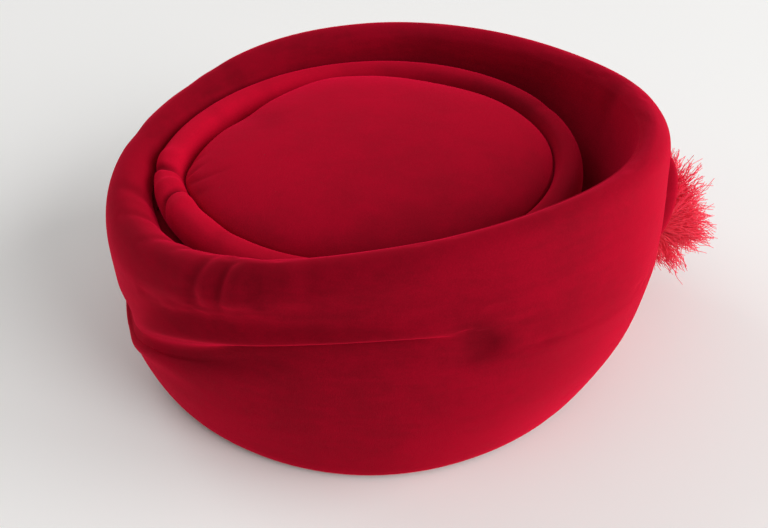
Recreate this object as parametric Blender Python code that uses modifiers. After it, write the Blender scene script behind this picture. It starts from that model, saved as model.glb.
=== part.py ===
"""A round velvet hat: a domed top in a padded ring, inside a tall leaning cuff with a silk tuft.

Units are metres and +Z is up. The hat is built round the axis of its oval head opening, with its
hem at height 0, and then moved so that the middle of its whole outline is over the origin. -Y is
the back of the hat and +X the wearer's right-hand side, where the cuff stands clear of the ring.
Azimuths are degrees round the axis from +X towards +Y. A reach is a distance from the axis,
measured along X; everything is stretched along Y to an oval.
"""

import math
from collections import namedtuple

import bmesh
import bpy
from mathutils import Matrix, Vector

# Head opening, the upright band round it, and the height of the ring's top
OPENING_HALF_WIDTH = 0.087
OPENING_HALF_LENGTH = 0.094
BAND_THICKNESS = 0.003
CROWN_HEIGHT = 0.092
SEAM_GAP = 0.0003
ROUND_SIDES = 72
TIP_SIDES = 48

# Padded ring on top of the band
RING_WIDTH = 0.0150
RING_THICKNESS = 0.016
RING_OVERHANG = 0.0110

# Domed top inside the ring
TIP_RISE = 0.008
TIP_EDGE_RADIUS = 0.014
TIP_WALL = 0.003
TIP_TUCK = 0.012

# Cuff round the outside
WELL_WIDTH = 0.023
ROLL_THICKNESS = 0.025
RIM_RISE = 0.030
HEM_WIDTH = 0.026
HEM_ROUND = 0.006
WALL_BULGE = 0.007
FOLD_DEPTH = 0.007
WELL_FLOOR = 0.022
DEEP_WELL_WIDTH = 0.0115
GATHER_DEPTH = 0.0025

# Velvet tab and silk tuft on the right of the cuff
TAB_AZIMUTH = -10.0
TAB_HEIGHT = 0.063
TAB_LENGTH = 0.054
TAB_STAND = 0.016
TAB_THICKNESS = 0.008
TAB_ROWS = 9
TAB_SIDES = 10
TUFT_HEIGHT = 0.050
TUFT_REACH = 0.038
TUFT_HEAD_RADIUS = 0.008
LOCK_RADIUS = 0.0040
LOCK_TIP_RADIUS = 0.0028

CuffSection = namedtuple("CuffSection", "azimuth well roll rise hem bulge crease fold pinch")
# One row for each section of the cuff. well, roll, rise, hem, bulge and fold are shares of
# WELL_WIDTH, ROLL_THICKNESS, RIM_RISE, HEM_WIDTH, WALL_BULGE and FOLD_DEPTH. crease is the height
# of the fold as a share of the cuff's height there, and pinch is how much of the fold's depth the
# cloth above it goes in too. Where the gap between the cuff and the ring is DEEP_WELL_WIDTH or more,
# it goes down to WELL_FLOOR.
CUFF_SECTIONS = (
    CuffSection(
        azimuth=0, well=0.72, roll=0.70, rise=0.72, hem=1.00, bulge=-0.70, crease=0.70, fold=0.00, pinch=0.30
    ),
    CuffSection(
        azimuth=30, well=0.50, roll=0.66, rise=0.53, hem=1.00, bulge=0.50, crease=0.65, fold=0.00, pinch=0.30
    ),
    CuffSection(
        azimuth=60, well=0.24, roll=0.66, rise=0.55, hem=1.00, bulge=0.30, crease=0.60, fold=0.00, pinch=0.30
    ),
    CuffSection(
        azimuth=90, well=0.06, roll=0.72, rise=0.56, hem=1.00, bulge=0.30, crease=0.55, fold=0.05, pinch=0.30
    ),
    CuffSection(
        azimuth=120, well=0.04, roll=0.80, rise=0.40, hem=1.00, bulge=0.30, crease=0.50, fold=0.20, pinch=0.50
    ),
    CuffSection(
        azimuth=150, well=0.04, roll=0.86, rise=0.14, hem=1.00, bulge=0.50, crease=0.48, fold=0.35, pinch=0.80
    ),
    CuffSection(
        azimuth=180, well=0.05, roll=0.88, rise=0.02, hem=1.00, bulge=0.65, crease=0.46, fold=0.50, pinch=1.00
    ),
    CuffSection(
        azimuth=210, well=0.10, roll=0.90, rise=0.02, hem=1.00, bulge=0.60, crease=0.50, fold=0.80, pinch=1.00
    ),
    CuffSection(
        azimuth=240, well=0.08, roll=0.80, rise=0.34, hem=1.02, bulge=0.35, crease=0.67, fold=0.90, pinch=0.45
    ),
    CuffSection(
        azimuth=270, well=0.12, roll=0.72, rise=0.76, hem=1.06, bulge=0.25, crease=0.70, fold=0.80, pinch=0.30
    ),
    CuffSection(
        azimuth=300, well=0.40, roll=0.70, rise=1.00, hem=1.00, bulge=0.80, crease=0.71, fold=0.15, pinch=0.30
    ),
    CuffSection(
        azimuth=330, well=0.76, roll=0.70, rise=0.96, hem=0.96, bulge=0.78, crease=0.71, fold=0.00, pinch=0.30
    ),
)

TipSection = namedtuple("TipSection", "azimuth reach")
# How far the domed top reaches, as a share of the ring's opening.
TIP_SECTIONS = (
    TipSection(azimuth=0, reach=1.00),
    TipSection(azimuth=30, reach=0.98),
    TipSection(azimuth=60, reach=0.93),
    TipSection(azimuth=90, reach=0.97),
    TipSection(azimuth=120, reach=0.95),
    TipSection(azimuth=150, reach=0.88),
    TipSection(azimuth=180, reach=0.99),
    TipSection(azimuth=210, reach=1.00),
    TipSection(azimuth=240, reach=1.00),
    TipSection(azimuth=270, reach=1.00),
    TipSection(azimuth=300, reach=1.00),
    TipSection(azimuth=330, reach=1.00),
)

Gather = namedtuple("Gather", "azimuth width depth")
# Pinches in the padding. width is in degrees and depth is a share of GATHER_DEPTH.
CUFF_GATHERS = (
    Gather(azimuth=234.5, width=2.2, depth=0.80),
    Gather(azimuth=240.5, width=2.6, depth=1.00),
    Gather(azimuth=248.5, width=2.2, depth=0.70),
)
RING_GATHERS = (
    Gather(azimuth=191.0, width=3.0, depth=1.00),
    Gather(azimuth=200.0, width=3.0, depth=0.90),
)

TuftLock = namedtuple("TuftLock", "climb spread length")
# One row for each lock of the tuft. climb is degrees from straight out of the cuff towards its top,
# spread is degrees away from the tab, and length is a share of TUFT_REACH.
TUFT_LOCKS = (
    TuftLock(climb=66, spread=14, length=0.95),
    TuftLock(climb=54, spread=34, length=0.92),
    TuftLock(climb=50, spread=6, length=1.00),
    TuftLock(climb=36, spread=20, length=0.96),
    TuftLock(climb=26, spread=44, length=0.88),
    TuftLock(climb=22, spread=6, length=0.90),
    TuftLock(climb=8, spread=28, length=0.96),
    TuftLock(climb=-2, spread=8, length=0.94),
    TuftLock(climb=-12, spread=48, length=0.92),
    TuftLock(climb=-14, spread=22, length=1.00),
    TuftLock(climb=-27, spread=5, length=0.98),
    TuftLock(climb=-36, spread=36, length=0.98),
    TuftLock(climb=-42, spread=14, length=1.00),
    TuftLock(climb=-56, spread=46, length=0.94),
    TuftLock(climb=-58, spread=6, length=1.00),
    TuftLock(climb=-68, spread=26, length=0.98),
    TuftLock(climb=-76, spread=8, length=0.98),
    TuftLock(climb=-86, spread=30, length=0.92),
)


def cubic(before, start, end, after, t):
    """Catmull-Rom value between start and end, for numbers and vectors."""
    bend = start * 2.0 + (end - before) * t
    bend = bend + (before * 2.0 - start * 5.0 + end * 4.0 - after) * t**2
    bend = bend + (start * 3.0 - before - end * 3.0 + after) * t**3
    return bend * 0.5


def around(rows, column, azimuth):
    """A column of a table at any azimuth, smooth from row to row and closed round the hat."""
    place = (azimuth % 360.0) / 360.0 * len(rows)
    row = int(place)
    values = [getattr(rows[(row + step) % len(rows)], column) for step in (-1, 0, 1, 2)]
    return cubic(*values, place - row)


def smooth_line(points, steps):
    """An open curve through the points, with this many steps for each stretch."""
    ends = [points[0] * 2 - points[1], *points, points[-1] * 2 - points[-2]]
    line = []
    for index in range(len(points) - 1):
        stretch = ends[index : index + 4]
        line += [cubic(*stretch, step / steps) for step in range(steps)]
    return line + [points[-1]]


def oval_stretch():
    return OPENING_HALF_LENGTH / OPENING_HALF_WIDTH


def oval_point(azimuth, reach, height):
    angle = math.radians(azimuth)
    return Vector((reach * math.cos(angle), reach * oval_stretch() * math.sin(angle), height))


def band_reach():
    return OPENING_HALF_WIDTH + BAND_THICKNESS


def ring_reach():
    return band_reach() + RING_OVERHANG


def ring_floor():
    return CROWN_HEIGHT - RING_THICKNESS


def mesh_object(name, mesh):
    """Links a bmesh to the hat as a named object with its faces pointing out."""
    bmesh.ops.recalc_face_normals(mesh, faces=mesh.faces)
    data = bpy.data.meshes.new(name)
    mesh.to_mesh(data)
    mesh.free()
    data.shade_smooth()
    data.set_sharp_from_angle(angle=math.radians(50))
    thing = bpy.data.objects.new(name, data)
    thing.parent = head_axis
    hat.objects.link(thing)
    return thing


def even_sides(count):
    return [side / count * 360.0 for side in range(count)]


def loft_round(name, outline, azimuths, peak=None):
    """One body through the sections that outline gives round the hat.

    The sections are closed loops, or, with a peak, open lines that all start next to it.
    """
    mesh = bmesh.new()
    sections = []
    for azimuth in azimuths:
        sections.append([mesh.verts.new(oval_point(azimuth, p.x, p.y)) for p in outline(azimuth)])
    top = mesh.verts.new((0.0, 0.0, peak)) if peak else None
    for near, far in zip(sections, sections[1:] + sections[:1]):
        for index, vert in enumerate(near):
            if index or not peak:
                mesh.faces.new((near[index - 1], vert, far[index], far[index - 1]))
        if peak:
            mesh.faces.new((top, near[0], far[0]))
    return mesh_object(name, mesh)


def pinch(gathers, azimuth):
    """How far the padding is drawn in at this azimuth."""
    total = 0.0
    for row in gathers:
        total += row.depth * math.exp(-(((azimuth - row.azimuth) / row.width) ** 2))
    return total * GATHER_DEPTH


def side_band():
    """The upright band round the head: a turned wall, stretched to the oval."""
    inner, outer = OPENING_HALF_WIDTH, band_reach()
    top = ring_floor() - SEAM_GAP
    profile = bmesh.new()
    places = ((outer, 0, top), (outer, 0, 0), (inner, 0, 0), (inner, 0, top))
    corners = [profile.verts.new(place) for place in places]
    for index, corner in enumerate(corners):
        profile.edges.new((corners[index - 1], corner))
    band = mesh_object("side_band", profile)
    turn = band.modifiers.new("turn", "SCREW")
    turn.steps = ROUND_SIDES
    turn.render_steps = ROUND_SIDES
    turn.use_merge_vertices = True
    turn.merge_threshold = 0.00001
    band.scale.y = oval_stretch()
    return band


def ring_outline(azimuth):
    """The padded ring's section: flat where it sits on the band, and round above."""
    outer = ring_reach() - pinch(RING_GATHERS, azimuth) * 0.5
    inner = ring_reach() - RING_WIDTH
    width = outer - inner
    floor = ring_floor()
    thickness = RING_THICKNESS - pinch(RING_GATHERS, azimuth)
    line = [
        Vector((inner + width * 0.25, floor)),
        Vector((inner + width * 0.05, floor + thickness * 0.2)),
        Vector((inner, floor + thickness * 0.5)),
        Vector((inner + width * 0.1, floor + thickness * 0.83)),
        Vector((inner + width * 0.32, floor + thickness)),
        Vector((outer - width * 0.32, floor + thickness)),
        Vector((outer - width * 0.08, floor + thickness * 0.8)),
        Vector((outer, floor + thickness * 0.5)),
        Vector((outer - width * 0.06, floor + thickness * 0.18)),
        Vector((outer - width * 0.25, floor)),
    ]
    return smooth_line(line, 2)


def tip_outline(azimuth):
    """The domed top's line from near its middle to the edge that tucks down inside the ring."""
    edge = ring_reach() - RING_WIDTH - SEAM_GAP
    peak = CROWN_HEIGHT + TIP_RISE
    line = [
        Vector((edge * 0.12, peak)),
        Vector((edge * 0.4, peak - TIP_RISE * 0.1)),
        Vector((edge * 0.7, peak - TIP_RISE * 0.35)),
        Vector((edge - TIP_EDGE_RADIUS * 0.6, peak - TIP_RISE * 0.8)),
        Vector((edge - TIP_EDGE_RADIUS * 0.1, peak - TIP_RISE * 1.35)),
        Vector((edge, CROWN_HEIGHT - TIP_TUCK * 0.6)),
        Vector((edge, CROWN_HEIGHT - TIP_TUCK)),
    ]
    line = smooth_line(line, 2)
    short = 1.0 - min(around(TIP_SECTIONS, "reach", azimuth), 1.0)
    tuck_top = CROWN_HEIGHT - TIP_TUCK * 0.3
    for point in line:
        tucked = min((tuck_top - point.y) / (TIP_TUCK * 0.7), 1.0) if point.y < tuck_top else 0.0
        point.x *= 1.0 - short * (point.x / edge) ** 2 * (1.0 - tucked)
    return line


def cuff_azimuths():
    """Round the hat in steps, with half steps where the padding is gathered."""
    azimuths = even_sides(ROUND_SIDES)
    half = 180.0 / ROUND_SIDES
    first = min(row.azimuth - row.width for row in CUFF_GATHERS)
    last = max(row.azimuth + row.width for row in CUFF_GATHERS)
    return sorted(azimuths + [a + half for a in azimuths if first - half * 2 < a < last])


def cuff_outline(azimuth):
    """The cuff's closed section at one azimuth, as (reach, height) vectors, from its foot outwards."""
    row = {name: around(CUFF_SECTIONS, name, azimuth) for name in CuffSection._fields[1:]}
    gather = pinch(CUFF_GATHERS, azimuth)
    foot = band_reach() + SEAM_GAP
    hem = foot + row["hem"] * HEM_WIDTH
    ring_side = ring_reach() + SEAM_GAP
    well = max(row["well"], 0.0) * WELL_WIDTH
    inner = ring_side + well
    seat = ring_floor() - SEAM_GAP
    well_bottom = seat - (seat - WELL_FLOOR) * min(well / DEEP_WELL_WIDTH, 1.0)
    roll = row["roll"] * ROLL_THICKNESS
    outer = inner + roll
    top = CROWN_HEIGHT + row["rise"] * RIM_RISE
    fold = top * row["crease"]
    depth = max(row["fold"], 0.0) * FOLD_DEPTH
    flap = top - fold

    def wall(height):
        share = min(height / (top - roll / 2), 1.0)
        lean = (outer - hem) * math.sin(share * math.pi / 2) ** 0.7
        return hem + lean + row["bulge"] * WALL_BULGE * math.sin(share * math.pi)

    outside = [
        Vector((hem - HEM_ROUND * 0.3, HEM_ROUND * 0.2)),
        Vector((wall(HEM_ROUND), HEM_ROUND)),
        Vector((wall(fold * 0.4), fold * 0.4)),
        Vector((wall(fold * 0.8) - depth * 0.25, fold * 0.8)),
        Vector((wall(fold) - depth, fold)),
        Vector((wall(fold + flap * 0.12) - depth * row["pinch"], fold + flap * 0.12)),
        Vector((wall(fold + flap * 0.36) - depth * row["pinch"] * 0.4 - gather * 0.3, fold + flap * 0.36)),
        Vector((outer - gather, top - roll * 0.55)),
        Vector((outer - roll * 0.17 - gather, top - roll * 0.15 - gather * 0.5)),
        Vector((outer - roll * 0.5, top - gather)),
        Vector((inner + roll * 0.15, top - roll * 0.17 - gather * 0.5)),
        Vector((inner, top - roll * 0.55)),
        Vector((ring_side + (inner - ring_side) * 0.7, ring_floor())),
        Vector((foot, well_bottom)),
    ]
    section = [Vector((foot, 0.0)), Vector((hem - HEM_ROUND, 0.0))] + smooth_line(outside, 2)
    for point in section:
        if point.y >= ring_floor():
            point.x = max(point.x, ring_side)
    return section


def wall_point(azimuth, height):
    """The point of the cuff's outer face at this azimuth and height."""
    section = cuff_outline(azimuth)[1:]
    for low, high in zip(section, section[1:]):
        if low.y <= height < high.y:
            share = (height - low.y) / (high.y - low.y)
            return oval_point(azimuth, low.x + (high.x - low.x) * share, height)
    raise ValueError("the height is above the cuff")


def wall_frame(azimuth, height):
    """Where the cuff's face is, and its outward, climbing and sideways unit vectors there."""
    here = wall_point(azimuth, height)
    climb = (wall_point(azimuth, height + 0.002) - wall_point(azimuth, height - 0.002)).normalized()
    side = wall_point(azimuth + 1.0, height) - wall_point(azimuth - 1.0, height)
    out = side.cross(climb).normalized()
    return here, out, climb, climb.cross(out).normalized()


def tuft_tab():
    """A stitched-down leaf of velvet that stands out of the cuff and hides the tuft's root."""
    mesh = bmesh.new()
    rings = []
    for row in range(TAB_ROWS):
        share = (row + 0.5) / TAB_ROWS
        height = TAB_HEIGHT + TAB_LENGTH * (share - 0.5)
        here, out, climb, side = wall_frame(TAB_AZIMUTH, height)
        fullness = math.sin(share * math.pi) ** 0.5
        centre = here + out * (TAB_STAND / 2 * fullness + SEAM_GAP)
        ring = []
        for step in range(TAB_SIDES):
            angle = step / TAB_SIDES * 2 * math.pi
            reach = out * (TAB_STAND / 2 * fullness * math.cos(angle))
            across = side * (TAB_THICKNESS / 2 * fullness * math.sin(angle))
            ring.append(mesh.verts.new(centre + reach + across))
        rings.append(ring)
    for low, high in zip(rings, rings[1:]):
        for index, vert in enumerate(low):
            mesh.faces.new((low[index - 1], vert, high[index], high[index - 1]))
    mesh.faces.new(rings[0])
    mesh.faces.new(rings[-1])
    return mesh_object("tuft_tab", mesh)


def lock_cone(start, direction, length):
    """One tapered lock of silk, from inside the tuft's head outwards."""
    turn = direction.to_track_quat("Z", "Y").to_matrix().to_4x4()
    place = Matrix.Translation(start + direction * (length / 2)) @ turn
    cone = bmesh.new()
    bmesh.ops.create_cone(
        cone,
        cap_ends=True,
        segments=8,
        radius1=LOCK_RADIUS,
        radius2=LOCK_TIP_RADIUS,
        depth=length,
        matrix=place,
    )
    return cone


def silk_tuft():
    """A fan of silk locks fused to a small round head behind the tab."""
    here, out, climb, side = wall_frame(TAB_AZIMUTH, TUFT_HEIGHT)
    away = TAB_THICKNESS / 2 + TUFT_HEAD_RADIUS + SEAM_GAP
    root = here + side * away + out * (TUFT_HEAD_RADIUS + SEAM_GAP)
    head = bmesh.new()
    bmesh.ops.create_uvsphere(
        head,
        u_segments=16,
        v_segments=10,
        radius=TUFT_HEAD_RADIUS,
        matrix=Matrix.Translation(root),
    )
    tuft = mesh_object("silk_tuft", head)
    locks = bpy.data.collections.new("lock_cutters")
    bpy.context.scene.collection.children.link(locks)
    for row in TUFT_LOCKS:
        climb_angle, spread_angle = math.radians(row.climb), math.radians(row.spread)
        fan = out * math.cos(climb_angle) + climb * math.sin(climb_angle)
        direction = (fan * math.cos(spread_angle) + side * math.sin(spread_angle)).normalized()
        lock = mesh_object("lock", lock_cone(root, direction, row.length * TUFT_REACH))
        hat.objects.unlink(lock)
        locks.objects.link(lock)
        lock.hide_render = True
        lock.display_type = "WIRE"
        fuse = tuft.modifiers.new("fuse", "BOOLEAN")
        fuse.operation = "UNION"
        fuse.object = lock
    return tuft


def paint(thing, name, colour, roughness):
    """Gives an object its own Principled material."""
    material = bpy.data.materials.new(name)
    material.use_nodes = True
    shader = material.node_tree.nodes["Principled BSDF"]
    shader.inputs["Base Color"].default_value = (*colour, 1.0)
    shader.inputs["Roughness"].default_value = roughness
    shader.inputs["Metallic"].default_value = 0.0
    thing.data.materials.append(material)


def centre_over_origin():
    """Moves the head's axis so that the middle of the hat's outline is over the origin."""
    graph = bpy.context.evaluated_depsgraph_get()
    corners = []
    for thing in hat.objects:
        piece = thing.evaluated_get(graph)
        corners += [piece.matrix_world @ Vector(corner) for corner in piece.bound_box]
    for side in range(2):
        head_axis.location[side] = -(min(c[side] for c in corners) + max(c[side] for c in corners)) / 2


for thing in list(bpy.data.objects):
    bpy.data.objects.remove(thing)
hat = bpy.data.collections.new("velvet_hat")
bpy.context.scene.collection.children.link(hat)
head_axis = bpy.data.objects.new("head_axis", None)
bpy.context.scene.collection.objects.link(head_axis)

VELVET = (0.40, 0.005, 0.02)
SILK = (0.75, 0.02, 0.07)
sides = even_sides(ROUND_SIDES)
paint(side_band(), "band_velvet", VELVET, 0.9)
paint(loft_round("crown_ring", ring_outline, sides), "ring_velvet", VELVET, 0.9)
tip = loft_round("crown_tip", tip_outline, even_sides(TIP_SIDES), peak=CROWN_HEIGHT + TIP_RISE)
tip_wall = tip.modifiers.new("wall", "SOLIDIFY")
tip_wall.thickness = TIP_WALL
tip_wall.offset = -1.0
paint(tip, "tip_velvet", VELVET, 0.9)
paint(loft_round("cuff", cuff_outline, cuff_azimuths()), "cuff_velvet", VELVET, 0.9)
paint(tuft_tab(), "tab_velvet", VELVET, 0.9)
paint(silk_tuft(), "tuft_silk", SILK, 0.6)
centre_over_origin()
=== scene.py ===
"""A red velvet pillbox hat with a leaning cuff and a silk tuft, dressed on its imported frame.

Units are metres and +Z is up, as in the frame. Azimuths are degrees round the axis of the head
opening, from +X towards +Y, and the hat's back is at 270. A reach is a distance from that axis,
measured along X; everything is stretched along Y to an oval. Run it as a script in Blender 4.5.
"""

import math
from collections import namedtuple

import bpy
import numpy as np
from bpy.props import FloatProperty, FloatVectorProperty, IntProperty, PointerProperty
from bpy.types import Operator, Panel, PropertyGroup
from mathutils import Matrix, Vector


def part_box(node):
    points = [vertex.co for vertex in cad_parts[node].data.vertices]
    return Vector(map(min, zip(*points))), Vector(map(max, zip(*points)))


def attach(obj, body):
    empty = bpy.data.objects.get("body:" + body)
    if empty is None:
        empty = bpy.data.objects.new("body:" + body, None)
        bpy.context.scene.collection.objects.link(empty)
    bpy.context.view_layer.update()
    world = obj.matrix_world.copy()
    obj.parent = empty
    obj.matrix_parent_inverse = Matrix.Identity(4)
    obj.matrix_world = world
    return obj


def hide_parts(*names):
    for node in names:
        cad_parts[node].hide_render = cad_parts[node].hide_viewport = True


bl_info = {
    "name": "Velvet Pillbox Hat",
    "version": (1, 0, 0),
    "blender": (4, 5, 0),
    "location": "3D View > Sidebar > Hat",
    "description": "Makes a velvet pillbox hat with a padded cuff and a silk tuft",
    "category": "Object",
}

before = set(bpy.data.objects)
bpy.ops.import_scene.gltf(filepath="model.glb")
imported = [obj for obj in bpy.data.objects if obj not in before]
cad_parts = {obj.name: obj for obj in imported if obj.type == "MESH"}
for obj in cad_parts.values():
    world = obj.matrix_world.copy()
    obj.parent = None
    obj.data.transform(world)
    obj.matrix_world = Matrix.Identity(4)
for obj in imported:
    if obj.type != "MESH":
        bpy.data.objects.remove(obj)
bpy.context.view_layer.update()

# Sizes read from the frame
BAND_LOW, BAND_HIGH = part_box("side_band")
RING_LOW, RING_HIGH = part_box("crown_ring")
AXIS = (BAND_LOW + BAND_HIGH) / 2
BAND_REACH = (BAND_HIGH.x - BAND_LOW.x) / 2
OVAL_STRETCH = (BAND_HIGH.y - BAND_LOW.y) / (BAND_HIGH.x - BAND_LOW.x)
RING_REACH = (RING_HIGH.x - RING_LOW.x) / 2
RING_FLOOR = RING_LOW.z
BAND_TOP = BAND_HIGH.z
TIP_RISE = 0.008
CROWN_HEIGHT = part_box("crown_tip")[1].z - TIP_RISE
SEAM_GAP = 0.0003

# Padded ring and domed top
BAND_THICKNESS = 0.003
BAND_ROUND = 0.0011
RING_WIDTH = 0.017
RING_THICKNESS = CROWN_HEIGHT - RING_FLOOR
TIP_EDGE_RADIUS = 0.014
TIP_TUCK = 0.012
TIP_WALL = 0.003
TIP_POLE_RISE = 0.0002

# Cuff: its section's sizes
WELL_WIDTH = 0.023
ROLL_THICKNESS = 0.025
RIM_RISE = 0.030
HEM_WIDTH = 0.026
HEM_ROUND = 0.006
WALL_BULGE = 0.007
WELL_FLOOR = 0.022
DEEP_WELL = 0.5
LEAN_POWER = 0.7

# Heights round the long fold's lip. A soft one is how much further off a place is on a soft lip.
FOLD_FOOT = 0.0060
CREASE_DROP = 0.0022
CREASE_LIFT = 0.0030
SOFT_CREASE_DROP = 0.0055
LIP_HANG = 0.0008
SOFT_LIP_DROP = 0.0018
LIP_ROUND = 0.0016
SOFT_LIP_ROUND = 0.0010

# Points of the cuff's section where it is sewn down, and the share of a full tuck that is sewn
HEM_LAST = 4
FOLD_FIRST, FOLD_LAST = 5, 10
WELL_FIRST = 16
SEWN_TUCK = 0.2

# Tab and tuft
TAB_AZIMUTH = -10.0
TAB_HEIGHT = 0.066
TAB_LENGTH = 0.060
TAB_STAND = 0.013
TAB_THICKNESS = 0.008
TUFT_HEIGHT = 0.050
TUFT_HEAD_RADIUS = 0.008
FACE_STEP = 0.002

# Silk threads: sizes in metres, angles in degrees, though a curl's are in radians, and places along
# a thread and lengths as shares
CLIMB_JITTER = 5
FAN_SPREAD = (-4, 46)
CLUMP_LENGTHS = (0.84, 1.02)
THREAD_LENGTHS = (0.72, 1.04)
THREAD_STRAY = (0.4, 1.3)
CLUMP_ROOT = 0.0006
CLUMP_SWELL = 0.0021
CLUMP_FULL = 0.66
CLUMP_CLOSE = 0.0009
CLUMP_CLOSING = 0.6
WAVE_TURNS = (2.0, 5.0)
WAVE_SIZE = 0.0009
WAVE_ROOT = 0.3
THREAD_SAG = 0.0030
CURLED_SHARE = 0.6
CURL_SIZES = (0.0008, 0.0026)
CURL_START = 0.72
CURL_ANGLES = (2.0, 5.5)
THREAD_TAPER = 0.45
TUBE_LEAN = np.array([0.31, 0.52, 0.79])

# How many sides and rows the grids have
CUFF_SIDES = 640
CUFF_STEPS = (2, 3, 4, 8, 10, 10, 6, 6, 8, 8, 12, 12, 10, 10, 10, 8, 8, 4, 2)
HEM_ROWS = sum(CUFF_STEPS[:2])
RING_STEPS = (4, 5, 6, 6, 6, 6, 6, 5, 4, 2)
TIP_STEPS = (6, 10, 12, 10, 8, 8, 4)
RING_SIDES = 600
TIP_SIDES = 480
BAND_SIDES = 240
TAB_ROWS = 72
TAB_SIDES = 48
THREAD_POINTS = 12
BAND_WALL_ROWS = 12
BAND_ROUND_ROWS = 3

# Camera, as the photograph's view was fitted
CAMERA_LENS = 45.14
CAMERA_DISTANCE = 0.50
CAMERA_ELEVATION = math.radians(34.8)
CAMERA_ROLL = math.radians(-2.6)
CAMERA_AIM = Vector((0.0046, 0.0, 0.0235))

CuffSection = namedtuple("CuffSection", "azimuth well roll rise hem bulge")
# well, roll, rise, hem and bulge are shares of WELL_WIDTH, ROLL_THICKNESS, RIM_RISE, HEM_WIDTH and
# WALL_BULGE.
CUFF_SECTIONS = (
    CuffSection(azimuth=0, well=0.77, roll=0.65, rise=0.72, hem=1.00, bulge=-0.70),
    CuffSection(azimuth=30, well=0.50, roll=0.66, rise=0.53, hem=1.00, bulge=0.50),
    CuffSection(azimuth=60, well=0.24, roll=0.66, rise=0.51, hem=1.00, bulge=0.30),
    CuffSection(azimuth=90, well=0.06, roll=0.72, rise=0.51, hem=1.00, bulge=0.30),
    CuffSection(azimuth=120, well=0.04, roll=0.80, rise=0.40, hem=1.00, bulge=0.30),
    CuffSection(azimuth=150, well=0.04, roll=0.86, rise=0.14, hem=1.00, bulge=0.50),
    CuffSection(azimuth=180, well=0.05, roll=0.88, rise=0.02, hem=1.00, bulge=0.65),
    CuffSection(azimuth=210, well=0.10, roll=0.90, rise=0.02, hem=1.00, bulge=0.60),
    CuffSection(azimuth=240, well=0.08, roll=0.80, rise=0.34, hem=0.975, bulge=0.35),
    CuffSection(azimuth=270, well=0.21, roll=0.64, rise=0.73, hem=1.01, bulge=0.25),
    CuffSection(azimuth=300, well=0.57, roll=0.54, rise=0.95, hem=0.97, bulge=0.96),
    CuffSection(azimuth=330, well=0.91, roll=0.56, rise=0.92, hem=0.96, bulge=0.84),
)

FoldSection = namedtuple("FoldSection", "azimuth height ledge lip hollow tuck sharp")
# The long fold round the cuff: the height of its lip, how wide the ledge above the lip is, in
# metres, how far the lip stands out, the cloth above the ledge goes in and the cloth under the lip
# tucks in, as shares of the fold's depth, and how sharply the lip turns, from 0 to 1.
FOLD_SECTIONS = (
    FoldSection(azimuth=30, height=0.070, ledge=0.008, lip=0.00, hollow=0.00, tuck=0.00, sharp=0.00),
    FoldSection(azimuth=80, height=0.060, ledge=0.008, lip=0.00, hollow=0.00, tuck=0.00, sharp=0.00),
    FoldSection(azimuth=120, height=0.050, ledge=0.008, lip=-0.05, hollow=0.10, tuck=0.15, sharp=0.00),
    FoldSection(azimuth=160, height=0.0405, ledge=0.008, lip=-0.40, hollow=0.30, tuck=0.50, sharp=0.60),
    FoldSection(azimuth=185, height=0.0385, ledge=0.008, lip=-0.85, hollow=0.45, tuck=0.90, sharp=0.90),
    FoldSection(azimuth=200, height=0.0395, ledge=0.008, lip=-1.00, hollow=0.50, tuck=1.00, sharp=0.90),
    FoldSection(azimuth=210, height=0.0450, ledge=0.008, lip=-0.60, hollow=0.62, tuck=0.80, sharp=0.60),
    FoldSection(azimuth=222, height=0.0582, ledge=0.009, lip=0.08, hollow=0.38, tuck=0.44, sharp=0.10),
    FoldSection(azimuth=235, height=0.0676, ledge=0.008, lip=0.22, hollow=0.32, tuck=0.44, sharp=0.20),
    FoldSection(azimuth=247, height=0.0742, ledge=0.006, lip=0.24, hollow=0.26, tuck=0.54, sharp=0.80),
    FoldSection(azimuth=257, height=0.0784, ledge=0.0045, lip=0.22, hollow=0.22, tuck=0.56, sharp=1.00),
    FoldSection(azimuth=266, height=0.0806, ledge=0.0040, lip=0.19, hollow=0.18, tuck=0.48, sharp=1.00),
    FoldSection(azimuth=275, height=0.0818, ledge=0.0040, lip=0.13, hollow=0.12, tuck=0.34, sharp=1.00),
    FoldSection(azimuth=283, height=0.0822, ledge=0.0050, lip=0.05, hollow=0.03, tuck=0.16, sharp=0.80),
    FoldSection(azimuth=290, height=0.0826, ledge=0.008, lip=0.00, hollow=0.00, tuck=0.02, sharp=0.10),
    FoldSection(azimuth=298, height=0.0830, ledge=0.008, lip=0.00, hollow=0.00, tuck=0.00, sharp=0.00),
    FoldSection(azimuth=340, height=0.080, ledge=0.008, lip=0.00, hollow=0.00, tuck=0.00, sharp=0.00),
)

Lock = namedtuple("Lock", "climb length")
# Lengths of the tuft's locks, as shares of its reach, and how steeply they climb, in degrees.
TUFT_LOCKS = (
    Lock(climb=-90, length=0.40),
    Lock(climb=-66, length=0.53),
    Lock(climb=-42, length=0.76),
    Lock(climb=-30, length=0.86),
    Lock(climb=-18, length=0.86),
    Lock(climb=8, length=0.77),
    Lock(climb=30, length=0.70),
    Lock(climb=46, length=0.70),
    Lock(climb=64, length=1.00),
    Lock(climb=88, length=0.72),
)

RingSection = namedtuple("RingSection", "azimuth outer inner tip")
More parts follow.
